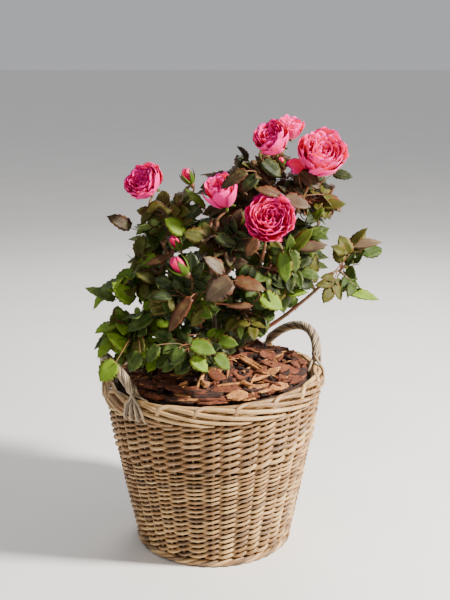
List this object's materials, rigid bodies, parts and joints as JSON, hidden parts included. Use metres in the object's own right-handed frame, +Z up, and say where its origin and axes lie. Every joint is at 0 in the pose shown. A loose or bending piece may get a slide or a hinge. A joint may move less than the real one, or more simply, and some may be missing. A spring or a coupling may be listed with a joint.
{
  "type": "rose bush in a wicker basket pot",
  "caption": "Small rose bush with double pink blooms, planted in a round wicker basket with roped handles and topped with bark mulch.",
  "frame": {"origin": "centre of the basket's flat underside, on the ground plane", "axes": "+Z up; -Y towards the viewer of the picture, +X to the right in it, the side with the larger blooms and the higher rim"},
  "size_m": [0.5194, 0.3976, 0.7687],
  "materials": {
    "wicker": "satin",
    "border_rods": "satin",
    "handle_rods": "matte",
    "compost": "matte",
    "bark_chips": "matte",
    "stock_bark": "matte",
    "cane_bark": "satin",
    "leaf": "satin",
    "bright_leaf": "satin",
    "bronze_leaf": "satin",
    "petals": "satin"
  },
  "bodies": {
    "root": {"basket_base": "wicker", "foot_wale": "wicker", "basket_wall": "wicker", "top_border": "border_rods", "compost": "compost", "handle_right": "handle_rods", "handle_left": "handle_rods", "rootstock": "stock_bark", "bark_mulch": "bark_chips", "cane_right": "cane_bark", "cane_top_right": "cane_bark", "cane_top_pair": "cane_bark", "cane_back": "cane_bark", "cane_back_left": "cane_bark", "cane_left": "cane_bark", "cane_low_left": "cane_bark", "cane_front": "cane_bark", "cane_centre": "cane_bark", "cane_centre_left": "cane_bark", "bloom_top_right": "petals", "bloom_top_left": "petals", "bloom_top_back": "petals", "bloom_centre": "petals", "bloom_centre_left": "petals", "bloom_left": "petals", "bloom_back": "petals", "bloom_back_left": "petals", "leaves_back_left": "leaf", "leaves_back_low": "leaf", "leaves_back_right": "leaf", "leaves_back_top": "bronze_leaf", "leaves_centre": "leaf", "leaves_far_right": "bright_leaf", "leaves_front_middle": "leaf", "leaves_left": "bright_leaf", "leaves_low_front": "leaf", "leaves_low_left": "bright_leaf", "leaves_low_middle": "leaf", "leaves_middle": "bronze_leaf", "leaves_right": "leaf", "leaves_top_middle": "bronze_leaf", "leaves_top_right": "bronze_leaf", "leaves_upper_left": "leaf"}
  },
  "joints": []
}
